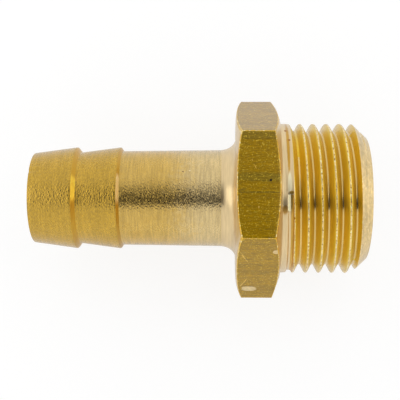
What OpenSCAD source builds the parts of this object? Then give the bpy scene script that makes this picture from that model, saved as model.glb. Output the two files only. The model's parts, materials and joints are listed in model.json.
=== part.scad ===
// Hose tail with a male parallel pipe thread, turned in one piece from hexagonal brass bar.
//
// The X axis is the axis of the flow bore. X = 0 is the shoulder that seats on the port: the
// thread points to +X and the barbed tail to -X. The part lies on one flat of its hexagon,
// so +Z is up and the surface that it lies on is at Z = -hex_af / 2.

/* [Hexagon] */
// Width across the flats, which is the spanner size
hex_af = 24; // [23.5:0.5:30]
// Length of the hexagon along the axis
hex_w = 5.95; // [4:0.05:14]
// Radial width of the rounding on the tail side, from where it starts to the middle of a flat
tail_round_w = 1.4; // [0.4:0.1:1.6]
// Radius of that rounding, which runs out over the corners
tail_round_r = 7; // [6:0.5:12]
// Radial width of the chamfer on the thread side, from the seat to the middle of a flat
seat_chamfer_w = 0.8; // [0.4:0.05:1.2]
// Angle of that chamfer from the seat
seat_chamfer_deg = 20; // [10:1:30]

/* [Hose tail] */
// Length of the tail, from the hexagon to the tip
tail_l = 27.95; // [22:0.05:50]
// Diameter of the plain shank beside the barbs
shank_d = 13.1; // [12.8:0.05:13.8]
// Diameter of the shank beside the fillet, a little more than at the barbs
shank_root_d = 13.4; // [12.8:0.05:14.5]
// Radius of the fillet where the shank meets the hexagon
fillet_r = 1.65; // [0.5:0.05:2.5]
// Diameter over the barbs, for a hose of 13 mm bore
barb_d = 14.1; // [14:0.05:16]
// Diameter at the foot of the cone between two barbs
barb_root_d = 12.7; // [12:0.05:13]
// Number of barbs
barb_count = 2; // [1:1:3]
// Distance from one barb to the next
barb_pitch = 6.05; // [4:0.05:6.4]
// Length of the first barb's cone, from the tip to its crest
tip_cone_l = 5.75; // [3:0.05:6]
// Outer diameter at the tip
tip_d = 12.55; // [11.8:0.05:13]
// Width of the land on a barb's crest
barb_land = 0.2; // [0.1:0.05:0.5]
// Angle of a barb's back face from the axis
barb_back_deg = 53; // [30:1:80]

/* [Thread] */
// Length of the threaded spigot, from the seat to its end
thread_l = 11.9; // [9:0.1:20]
// Major diameter of the G 1/2 thread, within its tolerance of 20.671 to 20.955
thread_d = 20.7; // [20.5:0.05:21]
// Pitch of the thread: 14 turns to the inch
thread_pitch = 1.814; // [1.4:0.001:2]
// Distance from the seat to the helix where it passes +Y
thread_phase = 0.09; // [0:0.01:1]
// Depth of the thread
thread_depth = 1.16; // [0.6:0.02:1.3]
// Angle between the flanks, which is 55 degrees on a pipe thread
thread_flank_deg = 55; // [50:1:60]
// Width of the flat at the root of the groove
thread_root_w = 0.3; // [0.15:0.05:0.35]
// Turns in which the groove grows from nothing to its full depth, beside the seat
runout_turns = 0.95; // [0.8:0.05:2]
// Depth of the groove where the tool first bites, as a share of its full depth
runout_bite = 0.12; // [0.05:0.01:0.3]
// Distance from the helix to the place where the groove begins, away from the seat
runout_shift = 0.55; // [0:0.05:0.55]
// Extra width of the root where the groove begins
runout_extra_w = 0.3; // [0:0.05:0.3]
// Direction of the groove's first bite round the axis, from +Y towards +Z
runout_deg = 96; // [0:1:180]
// Diameter of the end face, where the lead-in chamfer ends
thread_end_d = 17; // [15.9:0.1:18]
// Angle of the lead-in chamfer from the axis
lead_in_deg = 43; // [30:1:60]

/* [Bore] */
// Diameter of the flow bore
bore_d = 10; // [6:0.1:11]
// Width of the chamfer at each end of the bore
bore_chamfer = 0.4; // [0.1:0.05:0.45]

/* [Hidden] */
$fn = 96;

// How far a cutting shape reaches past the surface that it cuts
overcut = 0.08;

hex_corner_r = hex_af / 2 / cos(30);
tail_land_r = hex_af / 2 - tail_round_w;
seat_land_r = hex_af / 2 - seat_chamfer_w;
envelope_r = hex_corner_r + overcut;

shank_r = shank_d / 2;
shank_root_r = shank_root_d / 2;
barb_r = barb_d / 2;
barb_root_r = barb_root_d / 2;
tip_r = tip_d / 2;
bore_r = bore_d / 2;

thread_r = thread_d / 2;
thread_end_r = thread_end_d / 2;
lead_in_l = (thread_r - thread_end_r) / tan(lead_in_deg);

// Places along the axis
x_tip = -(hex_w + tail_l);
x_hex = -hex_w;
x_end = thread_l;

// Points of the arc of radius r about c, from angle a to angle b
function arc(c, r, a, b, n = 10) =
    [for (i = [0:n]) let (t = a + (b - a) * i / n) c + r * [cos(t), sin(t)]];

// Where the crest of barb i lies, counted from the tip
function barb_crest_x(i) = x_tip + tip_cone_l + i * barb_pitch;

// Radius that a barb's back face falls to: the next cone's foot, or the shank
function barb_foot_r(i) = i == barb_count - 1 ? shank_r : barb_root_r;

// One barb, as [radius, x]: the two edges of its land, and the foot of its back face
function barb(i) =
    let (x = barb_crest_x(i), r = barb_foot_r(i))
    [[barb_r, x], [barb_r, x + barb_land], [r, x + barb_land + (barb_r - r) / tan(barb_back_deg)]];

// The half section that the lathe leaves outside, from the tip to the thread's end
turned_outline = concat(
    [[0, x_tip], [tip_r, x_tip]],
    [for (i = [0:barb_count - 1]) each barb(i)],
    arc([shank_root_r + fillet_r, x_hex - fillet_r], fillet_r, 180, 90),
    arc([tail_land_r, x_hex + tail_round_r], tail_round_r, -90, -acos((envelope_r - tail_land_r) / tail_round_r)),
    [
        [envelope_r, -(envelope_r - seat_land_r) * tan(seat_chamfer_deg)],
        [seat_land_r, 0],
        [thread_r, 0],
        [thread_r, x_end - lead_in_l],
        [thread_end_r, x_end],
        [0, x_end]
    ]
);

// The half section of the bore, with a chamfer at each end
bore_outline = [
    [0, x_tip - overcut],
    [bore_r + bore_chamfer + overcut, x_tip - overcut],
    [bore_r, x_tip + bore_chamfer],
    [bore_r, x_end - bore_chamfer],
    [bore_r + bore_chamfer + overcut, x_end + overcut],
    [0, x_end + overcut]
];

// Rings of the thread groove: so many to a turn, from the first bite to past the end face
groove_steps = 36;
groove_turns = (x_end + thread_pitch / 2 - thread_phase) / thread_pitch - runout_deg / 360;
groove_rings = ceil(groove_turns * groove_steps);

// Share of the full depth that the groove has at ring i
function groove_share(i) =
    min(1, runout_bite + (1 - runout_bite) * i / (runout_turns * groove_steps));

// Corners of the groove's section at ring i, as [x, radius], from the left outer one round
function groove_section(i) =
    let (
        share = groove_share(i),
        turn = runout_deg / 360 + i / groove_steps,
        x = thread_phase + thread_pitch * turn + runout_shift * (1 - share),
        root_r = thread_r - thread_depth * share,
        outer_r = thread_r + overcut,
        half_root = (thread_root_w + runout_extra_w * (1 - share)) / 2,
        half_mouth = half_root + (outer_r - root_r) * tan(thread_flank_deg / 2)
    )
    [[x - half_mouth, outer_r], [x - half_root, root_r], [x + half_root, root_r], [x + half_mouth, outer_r]];

// The same corners in space, turned about the axis from +Y towards +Z
function groove_ring(i) =
    let (t = runout_deg + i * 360 / groove_steps)
    [for (p = groove_section(i)) [p[0], p[1] * cos(t), p[1] * sin(t)]];

// Turns a half section, drawn as [radius, x], about the X axis
module turn(outline) {
    rotate([0, 90, 0]) rotate_extrude() polygon(outline);
}

// The bar, with one pair of its flats level
module hexagon_bar() {
    translate([x_tip - overcut, 0, 0])
        rotate([90, 0, 90]) cylinder(r = hex_corner_r, h = x_end - x_tip + 2 * overcut, $fn = 6);
}

// The helical groove of the right-hand thread
module thread_groove() {
    points = [for (i = [0:groove_rings]) each groove_ring(i)];
    sides = [
        for (i = [0:groove_rings - 1], k = [0:3])
            let (a = 4 * i + k, b = 4 * i + (k + 1) % 4)
            each [[a, b + 4, b], [a, a + 4, b + 4]]
    ];
    last = 4 * groove_rings;
    caps = [[0, 1, 2], [0, 2, 3], [last, last + 2, last + 1], [last, last + 3, last + 2]];
    polyhedron(points, concat(sides, caps));
}

// The whole piece: hexagon bar turned to its outline, drilled and threaded
module hose_tail() {
    color("goldenrod")
        difference() {
            intersection() {
                hexagon_bar();
                turn(turned_outline);
            }
            turn(bore_outline);
            thread_groove();
        }
}

hose_tail();
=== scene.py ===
# %% [markdown]
# # A brass hose tail, turned from hexagonal bar
#
# The real part is one piece of free-cutting brass. A lathe turns the barbed tail, leaves a
# hexagon for the spanner, drills the flow bore and cuts a parallel pipe thread. This script
# models that one piece finely, as the lathe makes it, and finishes each zone as it looks on
# the real part. All sizes are in millimetres here and become metres with MM.

import bpy
import json
import math
import numpy as np
from mathutils import Matrix, Vector

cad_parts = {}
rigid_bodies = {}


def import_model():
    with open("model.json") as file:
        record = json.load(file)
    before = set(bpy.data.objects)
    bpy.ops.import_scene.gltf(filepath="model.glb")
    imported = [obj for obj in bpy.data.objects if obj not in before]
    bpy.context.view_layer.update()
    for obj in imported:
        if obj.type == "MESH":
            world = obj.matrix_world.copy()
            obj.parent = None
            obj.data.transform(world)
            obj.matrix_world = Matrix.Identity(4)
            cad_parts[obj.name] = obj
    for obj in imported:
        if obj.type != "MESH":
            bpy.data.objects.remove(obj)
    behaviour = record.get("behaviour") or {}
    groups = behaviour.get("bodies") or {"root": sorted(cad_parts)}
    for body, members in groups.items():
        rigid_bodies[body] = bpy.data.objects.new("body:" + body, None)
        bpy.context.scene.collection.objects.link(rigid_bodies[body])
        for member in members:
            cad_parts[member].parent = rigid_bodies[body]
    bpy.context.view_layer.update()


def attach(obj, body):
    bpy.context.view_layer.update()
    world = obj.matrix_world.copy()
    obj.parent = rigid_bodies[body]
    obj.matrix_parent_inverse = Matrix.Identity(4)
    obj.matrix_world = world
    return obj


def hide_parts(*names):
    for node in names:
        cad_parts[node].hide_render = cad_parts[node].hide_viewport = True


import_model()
MM = 0.001

# %% [markdown]
# ## Sizes
#
# X is the axis of the bore, and X = 0 is the face of the hexagon that seats on the port. The
# thread points to +X. The same values shape the solid in the part's source, so the fine
# model lies on it.

# %% Sizes of the part, in millimetres
HEX_FLATS = 24.0
HEX_WIDTH = 5.95
TAIL_LENGTH = 27.95
SHANK_R = 13.1 / 2
SHANK_ROOT_R = 13.4 / 2
FILLET_R = 1.65
BARB_R = 14.1 / 2
BARB_ROOT_R = 12.7 / 2
BARB_PITCH = 6.05
TIP_CONE = 5.75
TIP_R = 12.55 / 2
BARB_LAND = 0.2
BARB_BACK = math.radians(53)
THREAD_LENGTH = 11.9
THREAD_R = 20.7 / 2
PITCH = 1.814
THREAD_PHASE = 0.09
THREAD_DEPTH = 1.16
FLANK = math.radians(55 / 2)
ROOT_WIDTH = 0.3
THREAD_END_R = 17.0 / 2
LEAD_IN = math.radians(43)
BORE_R = 10.0 / 2
BORE_CHAMFER = 0.4
BORE_MOUTH_R = BORE_R + BORE_CHAMFER
X_TIP = -(HEX_WIDTH + TAIL_LENGTH)
X_HEX = -HEX_WIDTH
X_LEAD_IN = THREAD_LENGTH - (THREAD_R - THREAD_END_R) / math.tan(LEAD_IN)

# Columns of vertices round the axis: forty to each flat of the hexagon
COLUMNS = 240
print("length:", round(THREAD_LENGTH - X_TIP, 2), "mm, of which the tail is", TAIL_LENGTH)

# %% [markdown]
# ## Lathe work
#
# Everything but the thread has a plain half section, so it is drawn as a chain of points
# and spun about the axis, which is what the lathe does. A chain of boolean cylinders would
# give the same outline, but no control over the small roundings that catch the light. The
# chain starts where the lead-in chamfer ends, runs through the bore to the tip, and comes
# back over the barbs, the shank, the fillet and the hexagon to the thread's collar.

# %% Draw and spin a half section
def deselect_all():
    bpy.ops.object.select_all(action="DESELECT")


def make_active(piece):
    deselect_all()
    piece.select_set(True)
    bpy.context.view_layer.objects.active = piece


def draw_chain(name, points):
    """A chain of vertices through points, given as (x, radius) in millimetres."""
    deselect_all()
    bpy.ops.mesh.primitive_plane_add(size=MM)
    piece = bpy.context.object
    piece.name = piece.data.name = name
    bpy.ops.object.mode_set(mode="EDIT")
    bpy.ops.mesh.select_all(action="SELECT")
    bpy.ops.mesh.merge(type="CENTER")
    here = (0.0, 0.0)
    for i, point in enumerate(points):
        step = ((point[0] - here[0]) * MM, (point[1] - here[1]) * MM, 0)
        if i == 0:
            bpy.ops.transform.translate(value=step)
        else:
            bpy.ops.mesh.extrude_region_move(TRANSFORM_OT_translate={"value": step})
        here = point
    bpy.ops.object.mode_set(mode="OBJECT")
    print(name, "chain of", len(piece.data.vertices), "points")
    return piece


def rounded(points, radius, steps=3):
    """The chain with each inner corner turned into an arc of about that radius."""
    out = [points[0]]
    for before, corner, after in zip(points, points[1:], points[2:]):
        a, c, b = Vector(before), Vector(corner), Vector(after)
        ta, tb = (a - c).normalized(), (b - c).normalized()
        half = ta.angle(tb) / 2
        cut = min(radius / math.tan(half), (a - c).length * 0.4, (b - c).length * 0.4)
        p, q = c + ta * cut, c + tb * cut
        for i in range(steps + 1):
            u = i / steps
            out.append(tuple((1 - u) ** 2 * p + 2 * u * (1 - u) * c + u ** 2 * q))
    out.append(points[-1])
    return out


def divided(points, longest):
    """The chain with long steps divided, so that no step is longer than that."""
    out = [points[0]]
    for a, b in zip(points, points[1:]):
        n = max(1, math.ceil(math.dist(a, b) / longest))
        out += [tuple(p + (q - p) * i / n for p, q in zip(a, b)) for i in range(1, n + 1)]
    return out


def spin_chain(piece):
    """Turns the chain about the X axis and welds the seam."""
    make_active(piece)
    bpy.ops.object.mode_set(mode="EDIT")
    bpy.ops.mesh.select_all(action="SELECT")
    bpy.ops.mesh.spin(steps=COLUMNS, angle=math.tau, center=(0, 0, 0), axis=(1, 0, 0))
    bpy.ops.mesh.select_all(action="SELECT")
    bpy.ops.mesh.remove_doubles(threshold=0.001 * MM)
    bpy.ops.object.mode_set(mode="OBJECT")


# %% The half section from the lead-in chamfer through the bore to the barbs
# The thread's mesh stops just short of the end face and of the seat
MARGIN = 0.12
X_THREAD_END = THREAD_LENGTH - MARGIN
X_COLLAR = MARGIN
# Turned edges are rounded a little, and long straight steps are divided
TURNED_EDGE_R = 0.07
LONGEST_STEP = 1.2


def lead_in_r(x):
    return THREAD_R - (x - X_LEAD_IN) * math.tan(LEAD_IN)


def barb(i):
    """Points of barb i, counted from the tip: two edges of its land, and the foot of its back."""
    x = X_TIP + TIP_CONE + i * BARB_PITCH
    foot = SHANK_R if i == 1 else BARB_ROOT_R
    back_length = (BARB_R - foot) / math.tan(BARB_BACK)
    return [(x, BARB_R), (x + BARB_LAND, BARB_R), (x + BARB_LAND + back_length, foot)]


end_to_barbs = rounded([
    (X_THREAD_END, lead_in_r(X_THREAD_END)),
    (THREAD_LENGTH, THREAD_END_R),
    (THREAD_LENGTH, BORE_MOUTH_R),
    (THREAD_LENGTH - BORE_CHAMFER, BORE_R),
    (X_TIP + BORE_CHAMFER, BORE_R),
    (X_TIP, BORE_MOUTH_R),
    (X_TIP, TIP_R),
    *barb(0), *barb(1),
    # Only shows which way the shank leaves the last barb, and is dropped below
    (X_HEX - FILLET_R - 1, SHANK_ROOT_R),
], TURNED_EDGE_R)
end_to_barbs = divided(end_to_barbs[:-1], LONGEST_STEP)
print("end face, bore and barbs:", len(end_to_barbs), "points")

# %% The fillet between the shank and the hexagon
# The tool's nose leaves it a little longer than it is high
FILLET_X = 2.2
FILLET_STEPS = 12


def fillet_point(i):
    """Point i of the quarter turn from the shank to the hexagon's tail side."""
    a = math.radians(-90 + 90 * i / FILLET_STEPS)
    return X_HEX - FILLET_X + math.cos(a) * FILLET_X, SHANK_ROOT_R + FILLET_R + math.sin(a) * FILLET_R


tail_chain = end_to_barbs + [fillet_point(i) for i in range(FILLET_STEPS + 1)]
print("lathe work:", len(tail_chain), "points")

# %% [markdown]
# ## The hexagon
#
# On the real part the hexagon is what is left of the bar between the two turned faces. The
# turned faces run out over the flats in curved edges. Two ways make it: a boolean of bar and
# lathe work, or a spun disc whose outer rows are moved out to the flats. The second keeps an
# even mesh and puts rows exactly on the curved edges, so that they can be bevelled.

# %% Shape of the two turned faces and of the flats
FACE_R = SHANK_ROOT_R + FILLET_R
SEAT_LAND_R = HEX_FLATS / 2 - 0.8
SEAT_CHAMFER = math.radians(20)
ROUNDING_START_R = HEX_FLATS / 2 - 1.4
ROUNDING_R = 7.0
# The angle that one side of the hexagon takes
SIDE = math.radians(60)


def tail_face_x(r):
    """Where the turned face on the tail side lies at radius r: flat, then rounded over."""
    over = max(0.0, r - ROUNDING_START_R)
    return X_HEX + ROUNDING_R - math.sqrt(ROUNDING_R ** 2 - over ** 2)


def seat_face_x(r):
    """Where the seat side lies at radius r: flat, then chamfered."""
    return -max(0.0, r - SEAT_LAND_R) * math.tan(SEAT_CHAMFER)


def flat_r(phi):
    """Distance from the axis to the hexagon's side at angle phi from +Y towards +Z."""
    return HEX_FLATS / 2 / math.cos((phi % SIDE) - SIDE / 2)


print("hexagon across its corners:", round(2 * flat_r(0), 2))

# %% Rows of the hexagon
# Across the turned faces, as shares of the way out, and across the flats
FACE_ROWS = [0.15, 0.3, 0.45, 0.55, 0.65, 0.73, 0.8, 0.86, 0.92, 0.97, 1.0]
FLAT_ROWS = [i / 22 for i in range(1, 22)]
SEAT_ROWS = [1.0, 0.9, 0.8, 0.7, 0.6, 0.5, 0.4, 0.3, 0.2, 0.1, 0.0]


def hexagon_point(row, phi):
    """Place (x, radius) of a hexagon row at angle phi; rows run from the fillet to the seat."""
    kind, share = row
    side_r = flat_r(phi)
    if kind == "tail":
        r = FACE_R + (side_r - FACE_R) * share
        return tail_face_x(r), r
    if kind == "seat":
        r = SEAT_LAND_R + (side_r - SEAT_LAND_R) * share
        return seat_face_x(r), r
    x0, x1 = tail_face_x(side_r), seat_face_x(side_r)
    return x0 + (x1 - x0) * share, side_r


kinds = {"tail": FACE_ROWS, "flat": FLAT_ROWS, "seat": SEAT_ROWS}
hexagon_rows = [(kind, share) for kind, shares in kinds.items() for share in shares]
# They are drawn where they lie in the middle of a flat
hexagon_chain = [hexagon_point(row, SIDE / 2) for row in hexagon_rows]
# From the seat a small hollow leads to the collar
collar_chain = [(0, THREAD_R + 0.25), (0, THREAD_R + 0.12), (0.035, THREAD_R + 0.035), (X_COLLAR, THREAD_R)]
print("hexagon:", len(hexagon_chain), "rows")

# %% Spin it, and move the hexagon's rows out to the flats
body = draw_chain("hose_tail_body", tail_chain + hexagon_chain + collar_chain)
spin_chain(body)
print("spun body:", len(body.data.vertices), "vertices,", len(body.data.polygons), "faces")


def polar(co):
    """Angle from +Y towards +Z, and distance from the axis in millimetres."""
    return math.atan2(co.z, co.y) % math.tau, math.hypot(co.y, co.z) / MM


def move_to(vertex, phi, x, r):
    """Puts a vertex at angle phi, at place x along the axis and at radius r."""
    vertex.co = Vector((x, r * math.cos(phi), r * math.sin(phi))) * MM


def row_near(x, r):
    """The hexagon row that was drawn at that place of the half section, or none."""
    near = min(range(len(hexagon_chain)), key=lambda i: math.dist(hexagon_chain[i], (x, r)))
    return hexagon_rows[near] if math.dist(hexagon_chain[near], (x, r)) < 0.01 else None


side_rows = {}
for vertex in body.data.vertices:
    phi, r = polar(vertex.co)
    row = row_near(vertex.co.x / MM, r)
    if row:
        move_to(vertex, phi, *hexagon_point(row, phi))
        side_rows[vertex.index] = row
print("hexagon:", len(side_rows), "vertices moved, expected", len(hexagon_rows) * COLUMNS)

# %% Mark the hexagon's edges
# An edge to bevel joins two vertices of the last row of a turned face, or of a corner column
def at_corner(vertex):
    """Whether a vertex stands at one of the hexagon's six corners, seen along the axis."""
    phi, r = polar(vertex.co)
    return abs((phi + SIDE / 2) % SIDE - SIDE / 2) < 0.002


bevel_weight = body.data.attributes.new("bevel_weight_edge", "FLOAT", "EDGE")
marked = 0
for edge in body.data.edges:
    rows = [side_rows.get(i) for i in edge.vertices]
    if None in rows:
        continue
    on_face_edge = rows[0] == rows[1] and rows[0][0] != "flat" and rows[0][1] == 1.0
    along_side = all(kind == "flat" or share == 1.0 for kind, share in rows)
    if on_face_edge or (along_side and all(at_corner(body.data.vertices[i]) for i in edge.vertices)):
        bevel_weight.data[edge.index].value = 1.0
        marked += 1
print("edges marked for the bevel:", marked)

# %% Bevel the marked edges
EDGE_BEVEL = 0.07
make_active(body)
bevel = body.modifiers.new("Bevel", "BEVEL")
bevel.limit_method = "WEIGHT"
bevel.width = EDGE_BEVEL * MM
bevel.segments = 3
bpy.ops.object.modifier_apply(modifier=bevel.name)
print("bevelled body:", len(body.data.polygons), "faces")

# %% [markdown]
# ## The thread
#
# The thread is a 55 degree pipe thread of 1.814 mm pitch. A Screw modifier sweeps one
# pitch of its section along the helix, so that edges follow the crests and roots as the
# tool does. Rings with a bump map could only suggest it, and they would close on
# themselves instead of climbing. The groove starts beside the seat with a light bite and
# grows to full depth in about one turn, and the lead-in chamfer cuts across it at the end: the
# swept rows are drawn in and out to follow both.

# %% Section of the groove, and how it starts
RUNOUT_TURNS = 0.95
RUNOUT_BITE = 0.12
RUNOUT_SHIFT = 0.55
RUNOUT_EXTRA_WIDTH = 0.3
RUNOUT_START = 96 / 360
FIRST_TURN, LAST_TURN = -1, 8
# Rows across one flank, as shares of its width: close together where it rounds into the
# root and into the crest
FLANK_ROWS = [-0.083, 0.017, 0.116, 0.4, 0.7, 0.8, 0.89, 0.98, 1.09]
HALF_ROWS = len(FLANK_ROWS) + 1
ROWS = 2 * HALF_ROWS
# The rows across one flank are spread over at least this width
LEAST_WIDTH = 0.15
# How softly a flank rounds into the root and the crest, and the crest into the lead-in
ROOT_SOFTNESS = 0.14
CREST_SOFTNESS = 0.3
LEAD_IN_SOFTNESS = 0.04


def groove(turn):
    """Middle, half root, half mouth and depth of the groove at a place along the helix."""
    past_start = turn - RUNOUT_START
    if past_start >= -1e-6:
        share = min(1.0, RUNOUT_BITE + (1 - RUNOUT_BITE) * past_start / RUNOUT_TURNS)
        # The tool sinks into the collar within its first five degrees
        aside, depth = 1 - share, THREAD_DEPTH * share * min(1.0, 0.15 + 60 * past_start)
    else:
        # No groove yet: the rows only have to draw aside from the next turn's groove
        aside, depth = (1 - RUNOUT_BITE) * max(0.0, 1 + 4 * past_start), 0.0
    half_root = (ROOT_WIDTH + RUNOUT_EXTRA_WIDTH * aside) / 2
    middle = THREAD_PHASE + PITCH * turn + RUNOUT_SHIFT * aside
    return middle, half_root, half_root + depth * math.tan(FLANK), depth


def soft_min(a, b, width):
    """The smaller of two numbers, rounded over where they are closer than width."""
    h = max(width - abs(a - b), 0.0) / width
    return min(a, b) - h * h * width / 4


def groove_row(turn, j):
    """Place (x, radius) of row j across one pitch, from crest to crest."""
    middle, half_root, half_mouth, depth = groove(turn)
    side = -1 if j < HALF_ROWS else 1
    k = abs(j - HALF_ROWS)
    if k == HALF_ROWS:
        other = groove(turn + side)
        crest = (middle + side * half_mouth + other[0] - side * other[2]) / 2
        return crest, THREAD_R
    width = max(half_mouth - half_root, LEAST_WIDTH)
    offset = half_root + width * FLANK_ROWS[k - 1] if k else 0
    if depth == 0:
        return middle + side * offset, THREAD_R
    root_r = THREAD_R - depth
    flank_r = root_r + (offset - half_root) / math.tan(FLANK)
    r = -soft_min(-flank_r, -root_r, ROOT_SOFTNESS)
    return middle + side * offset, soft_min(r, THREAD_R, CREST_SOFTNESS)


print("groove at its start and a turn later:", groove(RUNOUT_START), groove(RUNOUT_START + 1))

# %% Sweep one pitch along the helix with a Screw modifier
thread = draw_chain("hose_tail_thread", [(PITCH * (j / ROWS - 0.5), THREAD_R) for j in range(ROWS + 1)])
row_order = np.argsort([v.co.x for v in thread.data.vertices])
make_active(thread)
screw = thread.modifiers.new("Screw", "SCREW")
screw.axis = "X"
screw.angle = math.tau
screw.screw_offset = PITCH * MM
screw.iterations = LAST_TURN - FIRST_TURN
screw.steps = screw.render_steps = COLUMNS
screw.use_merge_vertices = False
bpy.ops.object.modifier_apply(modifier=screw.name)
steps_swept = len(thread.data.vertices) // (ROWS + 1)
print("swept thread:", steps_swept, "steps of", ROWS + 1, "rows")

# %% Cut the groove's depth, its start and the lead-in into the sweep
def envelope_r(x):
    """Radius that the lathe left before the thread was cut."""
    return soft_min(THREAD_R, lead_in_r(x), LEAD_IN_SOFTNESS)


def crossing(inner, outer):
    """Where the way from a point inside the lead-in to one outside crosses it."""
    low, high = 0.0, 1.0
    for _ in range(30):
        middle = (low + high) / 2
        point = inner.lerp(outer, middle)
        low, high = (middle, high) if point.y <= envelope_r(point.x) else (low, middle)
    return tuple(inner.lerp(outer, low))


def trim_column(points):
    """Keeps a column of the sweep inside the lead-in chamfer, with a point on each crossing."""
    inside = [r <= envelope_r(x) + 1e-9 for x, r in points]
    out = list(points)
    for i, (x, r) in enumerate(points):
        if inside[i]:
            continue
        out[i] = (x, envelope_r(x))
        for n in (i - 1, i + 1):
            if 0 <= n < len(points) and inside[n] and abs(points[n][1] - THREAD_R) > 1e-3:
                out[i] = crossing(Vector(points[n]), Vector(points[i]))
    return out


def clamp_point(x, r):
    """Gathers what would lie past either end of the thread on that end's ring."""
    if x <= X_COLLAR:
        return X_COLLAR, THREAD_R
    if x >= X_THREAD_END:
        return X_THREAD_END, lead_in_r(X_THREAD_END)
    return x, r


# %% Move every vertex of the sweep to its place
co = np.empty((steps_swept, ROWS + 1, 3))
for c in range(COLUMNS):
    own_steps = range(c, steps_swept, COLUMNS)
    # The last row of one turn is the first row of the next, so it is taken once
    column = [groove_row(FIRST_TURN + s / COLUMNS, j) for s in own_steps for j in range(ROWS)]
    column.append(groove_row(FIRST_TURN + own_steps[-1] / COLUMNS, ROWS))
    column = [clamp_point(*p) for p in trim_column(column)]
    phi = math.tau * c / COLUMNS
    for i, s in enumerate(own_steps):
        for j in range(ROWS + 1):
            x, r = column[i * ROWS + j]
            co[s, row_order[j]] = (x, r * math.cos(phi), r * math.sin(phi))
thread.data.vertices.foreach_set("co", (co * MM).ravel())
thread.data.update()

# %% Merge the turns, and what was gathered at the ends
bpy.ops.object.mode_set(mode="EDIT")
bpy.ops.mesh.select_all(action="SELECT")
bpy.ops.mesh.remove_doubles(threshold=0.001 * MM)
bpy.ops.mesh.dissolve_degenerate(threshold=0.0005 * MM)
bpy.ops.object.mode_set(mode="OBJECT")
print("cut thread:", len(thread.data.polygons), "faces")

# %% [markdown]
# ## One piece
#
# The real part is one solid, so the lathe work and the thread are joined and welded along the
# collar and the end face, where their columns meet. A boolean union would do the same, but it
# would cut the even rows into slivers.

# %% Join the two and weld them into one closed piece
deselect_all()
thread.select_set(True)
body.select_set(True)
bpy.context.view_layer.objects.active = body
bpy.ops.object.join()
body.name = body.data.name = "hose_tail_brass"
bpy.ops.object.mode_set(mode="EDIT")
bpy.ops.mesh.select_all(action="SELECT")
bpy.ops.mesh.remove_doubles(threshold=0.002 * MM)
bpy.ops.mesh.normals_make_consistent(inside=False)
bpy.ops.mesh.select_all(action="DESELECT")
bpy.ops.mesh.select_non_manifold()
bpy.ops.object.mode_set(mode="OBJECT")
open_vertices = sum(v.select for v in body.data.vertices)
print("welded piece:", len(body.data.polygons), "faces,", open_vertices, "open vertices")

# %% [markdown]
# ## Knocks and burrs
#
# The part lies in a bin with many others, and the tool tears small burrs, so edges are nicked
# here and there. Proportional editing by hand would make them too; here each is a place, a
# reach and a height, so that it can be read and changed.

# %% Knocks and burrs, as the part has them
# Each is (x, degrees from +Y towards +Z, reach, height), in millimetres; a knock is below zero
KNOCKS = {
    "nick in the tip's rim": (X_TIP, 64, 0.35, -0.16),
    "knock on the front flat by the seat": (-1.0, 130, 0.7, -0.03),
    "knock on the front flat by the floor": (-4.2, 171.5, 1.1, -0.03),
    "burr on the collar": (0.7, 38, 0.3, 0.05),
    "second burr on the collar": (1.0, 51, 0.3, 0.04),
    "third burr on the collar": (1.4, 152, 0.25, 0.05),
    "burr on the last crest": (9.55, 32.5, 0.42, 0.16),
    "second burr on the last crest": (10.05, 162, 0.42, 0.16),
}
places = np.empty(len(body.data.vertices) * 3)
body.data.vertices.foreach_get("co", places)
places = places.reshape(-1, 3) / MM
radii = np.hypot(places[:, 1], places[:, 2])
angles = np.degrees(np.arctan2(places[:, 2], places[:, 1]))
# What lies past this radius is the outside; the bore stays as drilled
OUTSIDE_R = BORE_R + 0.8
for label, (x, degrees, reach, height) in KNOCKS.items():
    turn = np.radians((angles - degrees + 180) % 360 - 180)
    distance = np.sqrt((places[:, 0] - x) ** 2 + (radii * turn) ** 2) / reach
    rise = np.where(radii > OUTSIDE_R, height * np.clip(1 - distance ** 2, 0, None) ** 2, 0)
    places[:, 1:] *= (1 + rise / radii)[:, None]
    print(label, "moves", int((rise != 0).sum()), "vertices")
body.data.vertices.foreach_set("co", (places * MM).ravel())
body.data.update()
bpy.ops.object.shade_smooth_by_angle(angle=math.radians(50))
print("sharp edges left:", sum(edge.use_edge_sharp for edge in body.data.edges))

# %% [markdown]
# ## Finishes
#
# It is one alloy, but each zone of the real part looks different, because each was left by
# another tool. The shank carries fine turning marks, the barbs are grainy and their back faces
# darker, the flats still have the drawn skin of the bar with scratches from the bin, and the
# thread and its collar are the brightest cuts. Painted textures could show this, but noise on
# Object coordinates stays sharp at any distance. Each mark is a shader node group with named
# inputs, built once and placed in every material that needs it.

# %% Node helpers
def new_group(name, inputs, outputs):
    """An empty node group: Object coordinates and named inputs with defaults, to named values."""
    group = bpy.data.node_groups.new(name, "ShaderNodeTree")
    for label, value in {"Coordinates": (0, 0, 0), **inputs}.items():
        kind = "NodeSocketVector" if isinstance(value, tuple) else "NodeSocketFloat"
        group.interface.new_socket(label, in_out="INPUT", socket_type=kind).default_value = value
    for label in outputs:
        group.interface.new_socket(label, in_out="OUTPUT", socket_type="NodeSocketFloat")
    inside = group.nodes.new("NodeGroupInput").outputs
    outside = group.nodes.new("NodeGroupOutput").inputs
    return group, inside, outside


def add(tree, kind, inputs=None, **settings):
    """A node with its settings, and its inputs given as values or as sockets to link."""
    node = tree.nodes.new(kind)
    for key, value in settings.items():
        setattr(node, key, value)
    for key, value in (inputs or {}).items():
        socket = node.inputs[key]
        if isinstance(value, bpy.types.NodeSocket):
            tree.links.new(value, socket)
        else:
            socket.default_value = value
    return node


def math_node(tree, operation, a, b=0.0, c=0.0, clamp=False):
    return add(tree, "ShaderNodeMath", {0: a, 1: b, 2: c}, operation=operation, use_clamp=clamp).outputs[0]


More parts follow.
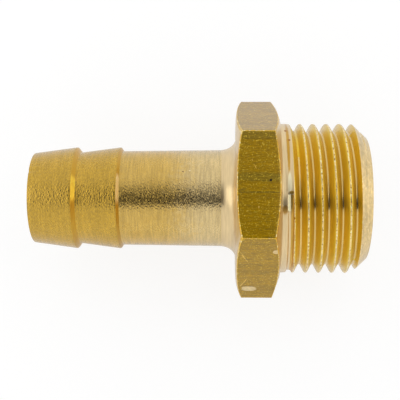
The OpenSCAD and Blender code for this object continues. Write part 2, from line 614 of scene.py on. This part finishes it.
def vector_math(tree, operation, *inputs):
    """A vector node of that operation; a length or a dot product comes out as a value."""
    node = add(tree, "ShaderNodeVectorMath", dict(enumerate(inputs)), operation=operation)
    return node.outputs["Value" if operation in ("LENGTH", "DOT_PRODUCT") else "Vector"]


def scaled(tree, vector, scale):
    return add(tree, "ShaderNodeVectorMath", {0: vector, "Scale": scale}, operation="SCALE").outputs[0]


def in_mm(tree, vector):
    return scaled(tree, vector, 1 / MM)


# %% Helpers for noise and masks
def noise(tree, vector, detail=2.0, roughness=0.5):
    inputs = {"Vector": vector, "Scale": 1.0, "Detail": detail, "Roughness": roughness}
    return add(tree, "ShaderNodeTexNoise", inputs).outputs["Fac"]


def ramp_node(tree, value, low, high, out_low=0.0, out_high=1.0):
    """Value brought from the range low..high to out_low..out_high, smoothly and within it."""
    inputs = {"Value": value, "From Min": low, "From Max": high, "To Min": out_low, "To Max": out_high}
    return add(tree, "ShaderNodeMapRange", inputs, interpolation_type="SMOOTHSTEP").outputs["Result"]


def swing(tree, value, share):
    """A noise brought about 1, give or take a share."""
    return ramp_node(tree, value, 0.3, 0.7, 1 - share, 1 + share)


def peaks(tree, value, amount, softness):
    """Mask of the peaks of a noise: the larger the amount, the more of them."""
    cut_off = math_node(tree, "SUBTRACT", 0.75, math_node(tree, "MULTIPLY", amount, 0.5))
    return ramp_node(tree, value, cut_off, math_node(tree, "ADD", cut_off, softness))


# %% Tool marks: rings round the axis from turning, and lines along it from drawing the bar
def line_marks(name, along, across):
    """A group for tool marks: how fast its noise changes along X and across it, per line."""
    group, inside, outside = new_group(name, {"Lines per mm": 9.0}, ["Height", "Tone"])
    broad = vector_math(group, "MULTIPLY", in_mm(group, inside["Coordinates"]), (along, across, across))
    fine = scaled(group, broad, inside["Lines per mm"])
    group.links.new(noise(group, fine, 3.0, 0.6), outside["Height"])
    group.links.new(noise(group, broad, 4.0, 0.65), outside["Tone"])
    return group


turning = line_marks("turning_marks", 1.0, 0.08)
drawing = line_marks("drawing_marks", 0.02, 1.0)
print("tool marks:", turning.name, "and", drawing.name)

# %% Grain: the fine tearing that a blunt tool leaves
TURNED_GRAIN, DRAWN_GRAIN = (1.0, 0.45, 0.45), (0.3, 1.0, 1.0)
grain, inside, outside = new_group("cut_grain", {"Grains per mm": 5.0, "Stretch": TURNED_GRAIN}, ["Height"])
place = scaled(grain, in_mm(grain, inside["Coordinates"]), inside["Grains per mm"])
place = vector_math(grain, "MULTIPLY", place, inside["Stretch"])
grain.links.new(noise(grain, place, 1.0), outside["Height"])
print(grain.name, "has", len(grain.nodes), "nodes")

# %% Scratches: short straight strokes along one direction, strewn by a stretched noise
scratches, inside, outside = new_group(
    "bin_scratches", {"Direction": (0.7, 0.5, 0.5), "Length": 0.8, "Width": 0.1, "Amount": 0.3}, ["Mask"])
place = in_mm(scratches, inside["Coordinates"])
heading = vector_math(scratches, "NORMALIZE", inside["Direction"])
gone = vector_math(scratches, "DOT_PRODUCT", place, heading)
per_length = math_node(scratches, "DIVIDE", 1.0, inside["Length"])
per_width = math_node(scratches, "DIVIDE", 1.0, inside["Width"])
slower = math_node(scratches, "SUBTRACT", per_length, per_width)
pulled = scaled(scratches, heading, math_node(scratches, "MULTIPLY", gone, slower))
place = vector_math(scratches, "ADD", scaled(scratches, place, per_width), pulled)
mask = peaks(scratches, noise(scratches, place, 0.0), inside["Amount"], 0.05)
scratches.links.new(mask, outside["Mask"])
print(scratches.name, "has", len(scratches.nodes), "nodes")

# %% Specks: the crumbs that a thread tool tears from a crest, and the pits it leaves
specks, inside, outside = new_group("specks", {"Size": 0.2, "Amount": 0.3, "Softness": 0.06}, ["Mask"])
per_size = math_node(specks, "DIVIDE", 1.0, inside["Size"])
place = scaled(specks, in_mm(specks, inside["Coordinates"]), per_size)
mask = peaks(specks, noise(specks, place, 2.0, 0.7), inside["Amount"], inside["Softness"])
specks.links.new(mask, outside["Mask"])
print(specks.name, "has", len(specks.nodes), "nodes")

# %% Spot: one patch at a place, with a more or less ragged edge
spot, inside, outside = new_group(
    "spot", {"Centre": (0, 0, 0), "Reach": (0, 0, 0), "Ragged": 0.3, "Softness": 0.15}, ["Mask"])
place = in_mm(spot, inside["Coordinates"])
aside = vector_math(spot, "DIVIDE", vector_math(spot, "SUBTRACT", place, inside["Centre"]), inside["Reach"])
wander = math_node(spot, "SUBTRACT", noise(spot, scaled(spot, place, 1.7), 3.0), 0.5)
wander = math_node(spot, "MULTIPLY", wander, math_node(spot, "MULTIPLY", inside["Ragged"], 4.0))
far = math_node(spot, "ADD", vector_math(spot, "LENGTH", aside), wander)
edge_from = math_node(spot, "SUBTRACT", 1.0, inside["Softness"])
edge_to = math_node(spot, "ADD", 1.0, inside["Softness"])
spot.links.new(ramp_node(spot, far, edge_from, edge_to, 1.0, 0.0), outside["Mask"])
print(spot.name, "has", len(spot.nodes), "nodes")

# %% Stroke: one scratch from a place to another, a little bowed by a slow noise
stroke, inside, outside = new_group("stroke", {"Start": (0, 0, 0), "End": (0, 0, 0), "Width": 0.1}, ["Mask"])
place = in_mm(stroke, inside["Coordinates"])
bow = add(stroke, "ShaderNodeTexNoise", {"Vector": place, "Scale": 0.8, "Detail": 0.0}).outputs["Color"]
place = vector_math(stroke, "MULTIPLY_ADD", bow, (0.5, 0.5, 0.5), place)
place = vector_math(stroke, "SUBTRACT", place, (0.25, 0.25, 0.25))
whole = vector_math(stroke, "SUBTRACT", inside["End"], inside["Start"])
part = vector_math(stroke, "SUBTRACT", place, inside["Start"])
part_length = vector_math(stroke, "DOT_PRODUCT", part, whole)
whole_length = vector_math(stroke, "DOT_PRODUCT", whole, whole)
share = math_node(stroke, "DIVIDE", part_length, whole_length, clamp=True)
off = vector_math(stroke, "LENGTH", vector_math(stroke, "SUBTRACT", part, scaled(stroke, whole, share)))
off = math_node(stroke, "DIVIDE", off, inside["Width"])
stroke.links.new(ramp_node(stroke, off, 0.3, 1.0, 1.0, 0.0), outside["Mask"])
print(stroke.name, "has", len(stroke.nodes), "nodes")


# %% One mark of each kind, as (group, its inputs, color, height in mm)
def spot_mark(centre, reach, color, ragged=0.3, softness=0.15):
    return spot, {"Centre": centre, "Reach": reach, "Ragged": ragged, "Softness": softness}, color, 0.0


def stroke_mark(start, end, width, color):
    return stroke, {"Start": start, "End": end, "Width": width}, color, -0.01


def scratch_marks(direction, length, width, amount, color):
    inputs = {"Direction": direction, "Length": length, "Width": width, "Amount": amount}
    return scratches, inputs, color, -0.004


def speck_marks(size, amount, color, height=0.0, softness=0.06):
    return specks, {"Size": size, "Amount": amount, "Softness": softness}, color, height


# %% A brass material from those effects
def brass(name, color, roughness, lines=0.0, line_density=9.0, grain_depth=0.0, grain_density=3.5,
          tone=0.1, streak=0.0, mottle=0.0, anisotropy=0.0, drawn=False,
          coat=1.0, coat_ior=1.5, coat_roughness=0.3, marks=()):
    """Brass with tool marks; depths are in mm, and tone, streak and mottle are shares of its color."""
    material = bpy.data.materials.new(name)
    material.use_nodes = True
    tree = material.node_tree
    coordinates = add(tree, "ShaderNodeTexCoord").outputs["Object"]

    def placed(group, inputs):
        return add(tree, "ShaderNodeGroup", {"Coordinates": coordinates, **inputs}, node_tree=group).outputs

    tool = placed(drawing if drawn else turning, {"Lines per mm": line_density})
    stretch = DRAWN_GRAIN if drawn else TURNED_GRAIN
    tears = placed(grain, {"Grains per mm": grain_density, "Stretch": stretch})
    shade = math_node(tree, "MULTIPLY", swing(tree, tool["Tone"], tone), swing(tree, tool["Height"], streak))
    shade = math_node(tree, "MULTIPLY", shade, swing(tree, tears["Height"], mottle))
    height = math_node(tree, "MULTIPLY", tool["Height"], lines)
    height = math_node(tree, "MULTIPLY_ADD", tears["Height"], grain_depth, height)
    shown = add(tree, "ShaderNodeRGB").outputs[0]
    shown.default_value = (*color, 1)
    for group, inputs, mark_color, mark_height in marks:
        mask = placed(group, inputs)["Mask"]
        mixed = {"Factor": mask, "A": shown, "B": (*mark_color, 1)}
        shown = add(tree, "ShaderNodeMix", mixed, data_type="RGBA").outputs["Result"]
        height = math_node(tree, "MULTIPLY_ADD", mask, mark_height, height)
    bump = add(tree, "ShaderNodeBump", {"Strength": 1.0, "Distance": MM, "Height": height})
    tangent = add(tree, "ShaderNodeTangent", direction_type="RADIAL", axis="X")
    bsdf = tree.nodes["Principled BSDF"]
    tree.links.new(scaled(tree, shown, shade), bsdf.inputs["Base Color"])
    tree.links.new(bump.outputs["Normal"], bsdf.inputs["Normal"])
    tree.links.new(tangent.outputs[0], bsdf.inputs["Tangent"])
    bsdf.inputs["Metallic"].default_value = 1.0
    bsdf.inputs["Roughness"].default_value = roughness
    bsdf.inputs["Anisotropic"].default_value = anisotropy
    bsdf.inputs["Anisotropic Rotation"].default_value = 0.0 if drawn else 0.25
    bsdf.inputs["Coat Weight"].default_value = coat
    bsdf.inputs["Coat Roughness"].default_value = coat_roughness
    bsdf.inputs["Coat IOR"].default_value = coat_ior
    return material


# %% Colors of the marks
PALE = (0.85, 0.72, 0.45)
GOLD = (0.80, 0.52, 0.08)
STRAW = (0.72, 0.51, 0.05)
OLIVE = (0.30, 0.19, 0.01)
RUST = (0.42, 0.17, 0.01)
BROWN = (0.16, 0.07, 0.01)
BLACK = (0.03, 0.02, 0.01)
FLECK = (0.2, 0.12, 0.12)
finishes = []

# %% The tail: turned shank, grainy barbs, and the barbs' darker back faces
finishes.append(brass(
    "brass_shank", (0.63, 0.41, 0.09), 0.2, lines=0.02, line_density=5, grain_depth=0.055,
    grain_density=7.5, tone=0.03, streak=0.13, mottle=0.06, coat=0.7,
    marks=[
        speck_marks(3.0, 0.5, (0.57, 0.35, 0.06), 0.0, 0.3),
        # The tool left it paler towards the fillet
        spot_mark((-7.0, 0, 0), (6.3, 20, 20), (0.68, 0.51, 0.23), 0.2, 0.5),
        speck_marks(0.3, 0.05, (0.35, 0.18, 0.02)),
        spot_mark((-13.0, 2.6, 6.0), FLECK, BROWN),
        spot_mark((-12.1, 2.75, 5.95), FLECK, PALE),
    ]))
finishes.append(brass(
    "brass_barbs", (0.57, 0.35, 0.04), 0.24, lines=0.02, line_density=4, grain_depth=0.08,
    grain_density=7, tone=0.05, streak=0.08, mottle=0.12, coat=0.6,
    marks=[speck_marks(0.3, 0.06, (0.33, 0.17, 0.02))]))
finishes.append(brass(
    "brass_back", (0.60, 0.34, 0.03), 0.3, grain_depth=0.04, grain_density=6, tone=0.1, coat=0.3,
    marks=[
        # Painted highlights: a brighter patch on top of each barb's back
        spot_mark((-27.8, 0.3, 6.7), (0.6, 1.7, 1.0), (1.0, 0.70, 0.08), 0.05, 0.3),
        spot_mark((-21.7, 0.3, 6.8), (0.6, 1.9, 1.0), (1.0, 0.80, 0.42), 0.05, 0.3),
    ]))
print("tail:", [material.name for material in finishes])

# %% The hexagon: flats with the drawn skin, and bright edges
finishes.append(brass(
    "brass_flats", (0.42, 0.243, 0.001), 0.5, lines=0.02, line_density=3, grain_depth=0.04,
    grain_density=6, tone=0.06, streak=0.12, mottle=0.15, drawn=True, coat_ior=1.38, coat_roughness=0.12,
    marks=[
        # Painted reflection: darker bands along the bar on the top flat, for the dark surroundings that its
        # waviness mirrors
        spot_mark((-3, 6.3, 12), (4, 0.5, 0.5), OLIVE, 0.2),
        spot_mark((-3, 0.9, 12), (4, 0.6, 0.5), (0.33, 0.215, 0.01), 0.4),
        spot_mark((-3, -1.05, 12), (3, 0.12, 0.5), (0.31, 0.20, 0.01), 0.3),
        speck_marks(0.25, 0.22, (0.29, 0.19, 0.01)),
        scratch_marks((0.35, 0.9, 0.5), 1.4, 0.13, 0.06, STRAW),
        scratch_marks((0.8, 0.5, -0.5), 1.0, 0.12, 0.03, STRAW),
        scratch_marks((0.15, 0.7, -0.7), 0.6, 0.13, 0.06, (0.62, 0.44, 0.03)),
        scratch_marks((1.0, 0.03, 0.03), 1.6, 0.1, 0.1, OLIVE),
        # A black pit and a bright one
        spot_mark((-1.57, 0.5, 12.0), (0.15, 0.13, 0.3), BLACK),
        spot_mark((-3.1, -2.95, 12.0), (0.09, 0.14, 0.3), GOLD),
        # Bare metal in the two knocks of the front flat
        spot_mark((-4.15, -12.6, 1.95), (1.05, 0.5, 0.6), (0.80, 0.62, 0.30), 0.18, 0.12),
        spot_mark((-0.75, -8.4, 9.45), (0.5, 0.3, 0.45), (0.78, 0.58, 0.26), 0.18, 0.15),
        # The longest scratches, two on the front flat and two on the top one
        stroke_mark((-5.3, -8.5, 9.25), (-4.4, -9.5, 7.5), 0.1, GOLD),
        stroke_mark((-5.3, -12.4, 2.55), (-4.3, -11.4, 4.3), 0.1, GOLD),
        stroke_mark((-3.95, 3.3, 12), (-3.45, 2.05, 12), 0.06, GOLD),
        stroke_mark((-1.2, 4.1, 12), (-0.55, 3.1, 12), 0.05, GOLD),
    ]))
finishes.append(brass(
    "brass_edge", (0.80, 0.50, 0.06), 0.32, grain_depth=0.1, grain_density=4, coat=0.1,
    marks=[
        speck_marks(0.4, 0.42, (1.0, 0.82, 0.40), -0.01),
        speck_marks(0.3, 0.28, (0.46, 0.25, 0.02)),
    ]))
print("hexagon:", [material.name for material in finishes[3:]])

# %% Bright cuts: fillet, turned faces and collar, a painted highlight where the thread tool bites in, where it runs in, and chamfer
finishes.append(brass(
    "brass_bright", (0.77, 0.585, 0.31), 0.28, lines=0.012, line_density=4, grain_depth=0.01,
    anisotropy=0.4, tone=0.04, streak=0.06, coat=0.5, coat_roughness=0.25,
    marks=[
        # On the collar: a line that the tool rubbed, a painted glint, a stain, and an amber mark beside the
        # bite
        spot_mark((0.87, 6.0, 8.2), (0.19, 4.6, 12.0), (0.58, 0.31, 0.03), 0.1, 0.3),
        spot_mark((0.95, 0.35, 10.3), (0.26, 1.5, 1.0), (1.0, 0.88, 0.56), 0.01, 0.25),
        spot_mark((0.35, -3.0, 10.0), (0.4, 0.55, 1.0), (0.50, 0.27, 0.05), 0.1, 0.4),
        spot_mark((1.2, -0.8, 10.3), (0.32, 0.2, 1.0), (0.74, 0.44, 0.08), 0.05, 0.3),
        # Under its burrs
        spot_mark((0.68, 8.12, 6.42), (0.18, 0.2, 0.3), RUST, 0.25),
        spot_mark((1.03, 6.54, 8.02), (0.16, 0.2, 0.3), RUST, 0.25),
        spot_mark((1.34, -9.10, 4.93), (0.16, 0.25, 0.4), RUST, 0.25),
        # On the hexagon's tail side
        spot_mark((-5.85, -5.0, 7.5), FLECK, BROWN, 0.0),
    ]))
# Where the thread tool bites in: a near-white painted highlight, lighter than the brass itself
finishes.append(brass("brass_bite_painted_highlight", (1.0, 0.90, 0.60), 0.6, coat=0.0))
finishes.append(brass(
    "brass_runout", (0.66, 0.39, 0.07), 0.3, lines=0.02, line_density=4, tone=0.1, streak=0.15, coat=0.2))
finishes.append(brass(
    "brass_chamfer", (0.75, 0.555, 0.25), 0.3, lines=0.03, line_density=3, grain_depth=0.07,
    grain_density=4, anisotropy=0.4, tone=0.1, streak=0.12, mottle=0.1, coat=0.4,
    marks=[
        speck_marks(0.3, 0.3, (0.88, 0.70, 0.38), -0.02),
        speck_marks(0.35, 0.2, (0.50, 0.30, 0.06), 0.0, 0.15),
    ]))
print("bright cuts:", [material.name for material in finishes[5:]])

# %% The thread's torn crests, roots and flanks, and the bore
finishes.append(brass(
    "brass_crest", (0.88, 0.64, 0.26), 0.35, grain_depth=0.12, grain_density=4, mottle=0.2,
    coat=1.0, coat_ior=1.25,
    marks=[
        speck_marks(0.25, 0.5, (0.98, 0.82, 0.48)),
        speck_marks(0.3, 0.34, (0.45, 0.20, 0.01), -0.06),
        # Under the burrs of the last crest
        spot_mark((9.55, 8.75, 5.6), (0.4, 0.4, 0.6), BROWN),
        spot_mark((10.05, -9.85, 3.1), (0.4, 0.5, 0.6), BROWN),
    ]))
finishes.append(brass(
    "brass_root", (0.74, 0.52, 0.18), 0.2, lines=0.02, line_density=3, anisotropy=0.4, coat=0.2,
    coat_roughness=0.12))
finishes.append(brass(
    "brass_thread", (0.80, 0.55, 0.05), 0.4, lines=0.04, line_density=3, anisotropy=0.7, tone=0.06,
    streak=0.06, coat=1.0, coat_ior=1.2, coat_roughness=0.25))
finishes.append(brass("brass_bore", (0.57, 0.36, 0.085), 0.35, lines=0.01, anisotropy=0.5))
order = [material.name for material in finishes]
print("thread and bore:", order[9:])

# %% [markdown]
# ## Zones
#
# Which tool left a face follows from where the face lies: its place along the axis, its
# distance from it and its slope. Faces could be picked by hand, but a rule by place still
# holds when a size changes.

# %% Which zone of the tail or of the hexagon a face is in
def tail_zone(x, r):
    """A barb's back face, the barbs, or the shank."""
    for land, back, foot in (barb(0), barb(1)):
        if r > OUTSIDE_R and back[0] + 0.03 < x < foot[0] - 0.04:
            return "brass_back"
    return "brass_barbs" if x < barb(1)[2][0] else "brass_shank"


def hexagon_zone(x, r, phi, normal):
    """A flat, an edge that the lathe bared, or a bright turned face."""
    side_r = flat_r(phi)
    middle = (math.floor(phi / SIDE) + 0.5) * SIDE
    on_flat = normal.y * math.cos(middle) + normal.z * math.sin(middle)
    if on_flat > 0.985:
        from_edge = min(x - tail_face_x(side_r), seat_face_x(side_r) - x)
        return "brass_edge" if from_edge < 0.1 else "brass_flats"
    rolled = normal.x < -0.5 and r > FACE_R + 0.92 * (side_r - FACE_R)
    turned_off = 0.5 < normal.x < 0.99 and r > side_r - 0.25
    between_flats = r > HEX_FLATS / 2 - 0.1 and abs(normal.x) < 0.85
    return "brass_edge" if rolled or turned_off or between_flats else "brass_bright"


# %% Which zone of the collar, the thread or the chamfer a face is in
def first_groove(phi):
    """Middle and half mouth of the first groove at angle phi, as seen from the seat."""
    turn = phi / math.tau
    middle, half_root, half_mouth, depth = groove(turn if turn >= RUNOUT_START else turn + 1)
    return middle, half_mouth


def thread_zone(x, r, phi):
    """The chamfer, the collar and where the groove begins on it, a crest, a root or a flank."""
    if x > X_LEAD_IN and abs(r - lead_in_r(x)) < 0.03:
        return "brass_chamfer"
    past_start = (phi / math.tau - RUNOUT_START) % 1
    middle, half_mouth = first_groove(phi)
    if past_start < 0.4 and X_COLLAR < x:
        # The groove is still shallow: its seat side, and the side towards the thread
        if abs(x - middle + half_mouth / 2) < half_mouth / 2 + 0.03:
            # Its first few degrees carry the painted highlight of the bite
            return "brass_bite_painted_highlight" if past_start < 0.035 else "brass_bright"
        if middle < x < middle + half_mouth + 0.03:
            return "brass_runout"
    before = x < middle and (r > THREAD_R - 0.05 or past_start < 0.5)
    if x <= X_COLLAR or x > THREAD_LENGTH - 0.05 or before:
        return "brass_bright"
    if r > THREAD_R - 0.06:
        return "brass_crest"
    return "brass_root" if r < THREAD_R - THREAD_DEPTH + 0.045 else "brass_thread"


def zone(center, normal):
    """The finish of a face."""
    phi, r = polar(center)
    x = center.x / MM
    if r < BORE_R + 0.05:
        return "brass_bore"
    if x < X_HEX - FILLET_X + 0.15:
        return tail_zone(x, r)
    return hexagon_zone(x, r, phi, normal) if r > THREAD_R + 0.3 else thread_zone(x, r, phi)


# %% Give each face its finish
body.data.materials.clear()
for material in finishes:
    body.data.materials.append(material)
for face in body.data.polygons:
    face.material_index = order.index(zone(face.center, face.normal))
# The chamfer's border with the thread is as torn as the crests
THREAD, CHAMFER, CREST = (order.index(name) for name in ("brass_thread", "brass_chamfer", "brass_crest"))
cut = {v for face in body.data.polygons if face.material_index == THREAD for v in face.vertices}
for face in body.data.polygons:
    if face.material_index == CHAMFER and cut & set(face.vertices):
        face.material_index = CREST
counts = np.bincount([face.material_index for face in body.data.polygons])
print("faces of each finish:", dict(zip(order, counts.tolist())))

# %% What the piece rides on and stands for
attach(body, "root")
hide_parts("hose_tail")

# %% [markdown]
# ## Studio
#
# Brass shows little but its surroundings. So the part lies on a white sheet in a white tent,
# with dark cards overhead: a long slit to the front, and behind it the camera and its housing,
# which the brass mirrors as the dark band along its top. A soft lamp at each end and a faint
# one over the thread draw the bright lines. A sky or a room would be mirrored too, but cards
# can be moved one by one until the bands lie right.

# %% White floor
# Seen straight, it is mostly its own white, so that the shadow stays faint; its light on the
# part is that of a white sheet
deselect_all()
bpy.ops.mesh.primitive_plane_add(size=3, location=(0, 0, -HEX_FLATS / 2 * MM))
floor = bpy.context.object
floor.name = "floor"
white = bpy.data.materials.new("floor_white")
white.use_nodes = True
tree = white.node_tree
path = add(tree, "ShaderNodeLightPath").outputs
mirrored = math_node(tree, "MAXIMUM", path["Is Glossy Ray"], path["Is Transmission Ray"])
mirrored = math_node(tree, "MULTIPLY", mirrored, 0.32)
glow = math_node(tree, "MULTIPLY_ADD", path["Is Camera Ray"], 0.8, mirrored)
sheet = ramp_node(tree, path["Is Camera Ray"], 0.0, 1.0, 0.7, 0.25)
sheet = add(tree, "ShaderNodeCombineColor", {0: sheet, 1: sheet, 2: sheet}).outputs[0]
bsdf = tree.nodes["Principled BSDF"]
tree.links.new(sheet, bsdf.inputs["Base Color"])
bsdf.inputs["Roughness"].default_value = 1.0
bsdf.inputs["Specular IOR Level"].default_value = 0.0
bsdf.inputs["Emission Color"].default_value = (1, 1, 1, 1)
tree.links.new(glow, bsdf.inputs["Emission Strength"])
floor.data.materials.append(white)
print("floor at", round(floor.location.z / MM, 2), "mm")

# %% White tent, a little dimmer overhead than at the sides
world = bpy.data.worlds.new("studio")
bpy.context.scene.world = world
world.use_nodes = True
tree = world.node_tree
background = tree.nodes["Background"]
background.inputs["Color"].default_value = (1, 1, 1, 1)
upward = add(tree, "ShaderNodeSeparateXYZ", {"Vector": add(tree, "ShaderNodeTexCoord").outputs["Generated"]})
strength = ramp_node(tree, upward.outputs["Z"], 0.0, 0.5, 0.95, 0.9)
tree.links.new(strength, background.inputs["Strength"])
print("world:", world.name)

# %% Dark cards overhead, which the brass mirrors but the camera does not see
CARD_HEIGHT = 120.0


def offset(degrees):
    """How far to the side a direction that many degrees from straight up meets the cards."""
    return CARD_HEIGHT * math.tan(math.radians(degrees))


def card(name, left, right, front, back, shade, soft):
    """A level card, in millimetres; soft gives the ramps of its edges as (axis, clear, covered)."""
    deselect_all()
    bpy.ops.mesh.primitive_plane_add(size=1, location=(0, 0, CARD_HEIGHT * MM))
    piece = bpy.context.object
    piece.name = name
    bpy.ops.object.mode_set(mode="EDIT")
    bpy.ops.mesh.select_all(action="SELECT")
    bpy.ops.transform.resize(value=((right - left) * MM, (back - front) * MM, 1))
    bpy.ops.transform.translate(value=((right + left) / 2 * MM, (back + front) / 2 * MM, 0))
    bpy.ops.object.mode_set(mode="OBJECT")
    material = bpy.data.materials.new(name)
    material.use_nodes = True
    tree = material.node_tree
    bsdf = tree.nodes["Principled BSDF"]
    bsdf.inputs["Base Color"].default_value = (shade, shade, shade, 1)
    bsdf.inputs["Specular IOR Level"].default_value = 0.0
    where = add(tree, "ShaderNodeSeparateXYZ", {"Vector": add(tree, "ShaderNodeTexCoord").outputs["Object"]})
    cover = 1.0
    for axis, clear, covered in soft:
        low, high = min(clear, covered) * MM, max(clear, covered) * MM
        edge = ramp_node(tree, where.outputs[axis], low, high, *((0, 1) if clear < covered else (1, 0)))
        cover = math_node(tree, "MULTIPLY", cover, edge)
    tree.links.new(cover, bsdf.inputs["Alpha"])
    piece.data.materials.append(material)
    piece.visible_camera = False
    print(name, "is", round(right - left), "by", round(back - front), "mm")


# %% Hang the slit, the camera and its housing
LEFT, HOUSING_LEFT, CAMERA_RIGHT, HOUSING_RIGHT = -95, -6, -4, 8.2
SLIT_FRONT, CAMERA_FRONT, CAMERA_BACK = -offset(26.5), -offset(17), offset(38)
left_fade = ("X", LEFT, -46)
back_fade = ("Y", CAMERA_BACK, -offset(5))
card("dark_slit", LEFT, 400, SLIT_FRONT, offset(0), 0.03,
     [("Y", offset(0), CAMERA_FRONT), left_fade])
card("dark_camera", LEFT, CAMERA_RIGHT, CAMERA_FRONT, CAMERA_BACK, 0.06,
     [back_fade, left_fade, ("X", CAMERA_RIGHT, HOUSING_LEFT)])
card("dark_housing", HOUSING_LEFT, HOUSING_RIGHT, CAMERA_FRONT, CAMERA_BACK, 0.06,
     [back_fade, ("X", HOUSING_LEFT, CAMERA_RIGHT), ("X", HOUSING_RIGHT, 6.8)])


# %% Soft lamps, one at each end and a faint one over the thread
LAMP_DISTANCE = 220


def soft_lamp(name, place, target, width, height, radiance):
    """A rectangular lamp that faces the target; its width lies level. Millimetres."""
    data = bpy.data.lights.new(name, "AREA")
    data.shape = "RECTANGLE"
    data.size, data.size_y = width * MM, height * MM
    data.energy = radiance * math.pi * width * height * MM * MM
    lamp = bpy.data.objects.new(name, data)
    bpy.context.scene.collection.objects.link(lamp)
    direction = Vector(place) - Vector(target)
    lamp.location = Vector(place) * MM
    lamp.rotation_euler = direction.to_track_quat("Z", "Y").to_euler()
    print(name, "gives", round(data.energy, 4), "W")


def lamp_facing(name, azimuth, width, height, radiance):
    """A lamp at an angle from straight up in the plane of the axis, to the left when negative."""
    a = math.radians(azimuth)
    place = (LAMP_DISTANCE * math.sin(a), 0, LAMP_DISTANCE * math.cos(a))
    soft_lamp(name, place, (0, 0, 0), width, height, radiance)


def lamp_above(name, left, right, front, back, radiance):
    """A level lamp just over the cards."""
    middle = ((left + right) / 2, (front + back) / 2)
    soft_lamp(name, (*middle, CARD_HEIGHT + 3), (*middle, 0), right - left, back - front, radiance)


lamp_facing("lamp_left", -62, 110, 170, 0.7)
lamp_above("lamp_over_thread", 16, 44, -offset(24), offset(28), 0.15)
lamp_facing("lamp_right", 66, 100, 170, 0.7)

# %% [markdown]
# ## Camera
#
# The camera stands close over the part and a little to the front, so that more shows of the
# hexagon's front flat than of its back one. A Track To constraint could aim it, but three
# axes, turned in pairs, keep its small tilts apart and leave nothing live in the scene.

# %% The camera, nearly overhead
# Focal length as a share of the sensor's width
LENS_FACTOR = 2.2075
CAMERA_PLACE = Vector((-7.134, -18.512, 122.114))
elevation, yaw, roll = (math.radians(a) for a in (81.508, -1.74, 0.146))


def turned(a, b, angle):
    """Two axes, turned by an angle in the plane that they span."""
    return a * math.cos(angle) + b * math.sin(angle), b * math.cos(angle) - a * math.sin(angle)


camera_data = bpy.data.cameras.new("camera")
camera_data.lens = LENS_FACTOR * camera_data.sensor_width
camera_data.clip_start = 0.01
camera = bpy.data.objects.new("camera", camera_data)
bpy.context.scene.collection.objects.link(camera)
right = Vector((1, 0, 0))
up = Vector((0, math.sin(elevation), math.cos(elevation)))
back = Vector((0, -math.cos(elevation), math.sin(elevation)))
right, back = turned(right, back, yaw)
right, up = turned(right, up, roll)
matrix = Matrix((right, up, back)).transposed().to_4x4()
matrix.translation = CAMERA_PLACE * MM
camera.matrix_world = matrix
bpy.context.scene.camera = camera
bpy.context.scene.view_settings.view_transform = "Standard"
print("camera", round(CAMERA_PLACE.length), "mm away, lens", round(camera_data.lens, 1), "mm")
